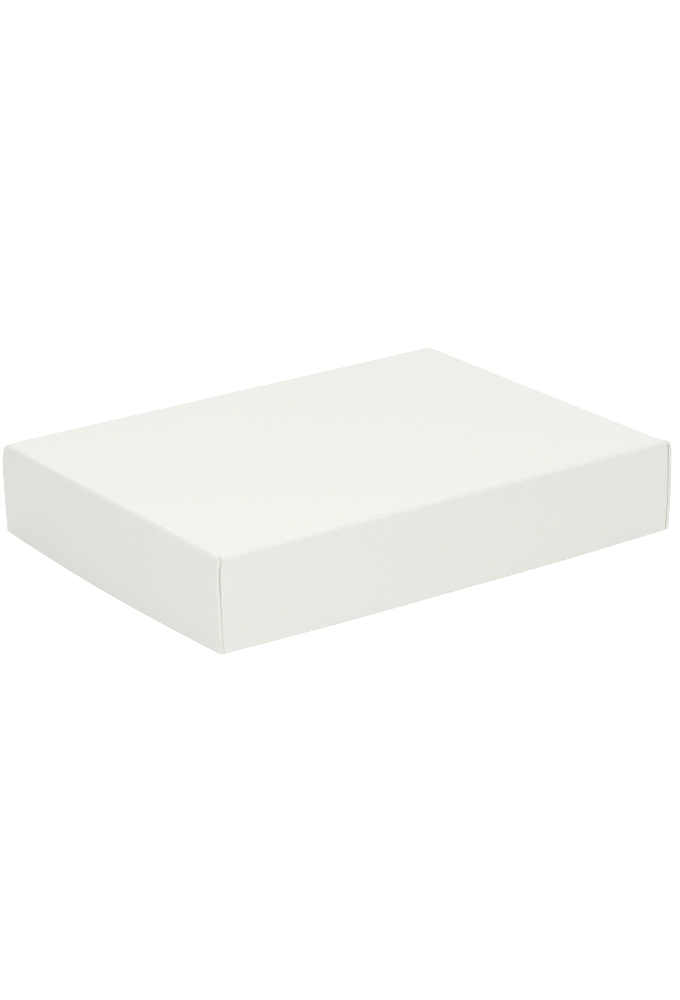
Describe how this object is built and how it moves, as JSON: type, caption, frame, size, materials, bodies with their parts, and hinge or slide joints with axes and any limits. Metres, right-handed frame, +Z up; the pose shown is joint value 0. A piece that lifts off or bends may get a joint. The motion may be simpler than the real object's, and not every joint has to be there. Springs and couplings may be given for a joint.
{
  "type": "board game box",
  "caption": "Shallow rectangular two-piece box of plain white folded board, with a full-depth lid that lifts straight off a glued-corner base tray.",
  "frame": {"origin": "middle of the base's underside, on the surface that the closed box stands on", "axes": "+X along the box's long side, towards the right end wall; +Y from the front long wall to the back one; +Z up, from the base to the lid's top"},
  "size_m": [0.267, 0.203, 0.048],
  "materials": {
    "lid_board": "smooth matte white",
    "base_board": "smooth matte white",
    "glue": "dried clear-to-cream adhesive"
  },
  "bodies": {
    "base": {"base_floor": "base_board", "base_front_wall": "base_board", "base_back_wall": "base_board", "base_left_end": "base_board", "base_right_end": "base_board", "base_flap_front_left": "base_board", "base_flap_front_right": "base_board", "base_flap_back_left": "base_board", "base_flap_back_right": "base_board", "base_corner_glue": "glue"},
    "lid": {"lid_top": "lid_board", "lid_front_wall": "lid_board", "lid_back_wall": "lid_board", "lid_left_end": "lid_board", "lid_right_end": "lid_board", "lid_flap_front_left": "lid_board", "lid_flap_front_right": "lid_board", "lid_flap_back_left": "lid_board", "lid_flap_back_right": "lid_board", "lid_corner_glue": "glue"}
  },
  "joints": [
    {"name": "lid_lift", "type": "slide", "parent": "base", "child": "lid", "axis": [0, 0, 1], "range_m": [0, 0.12]}
  ]
}
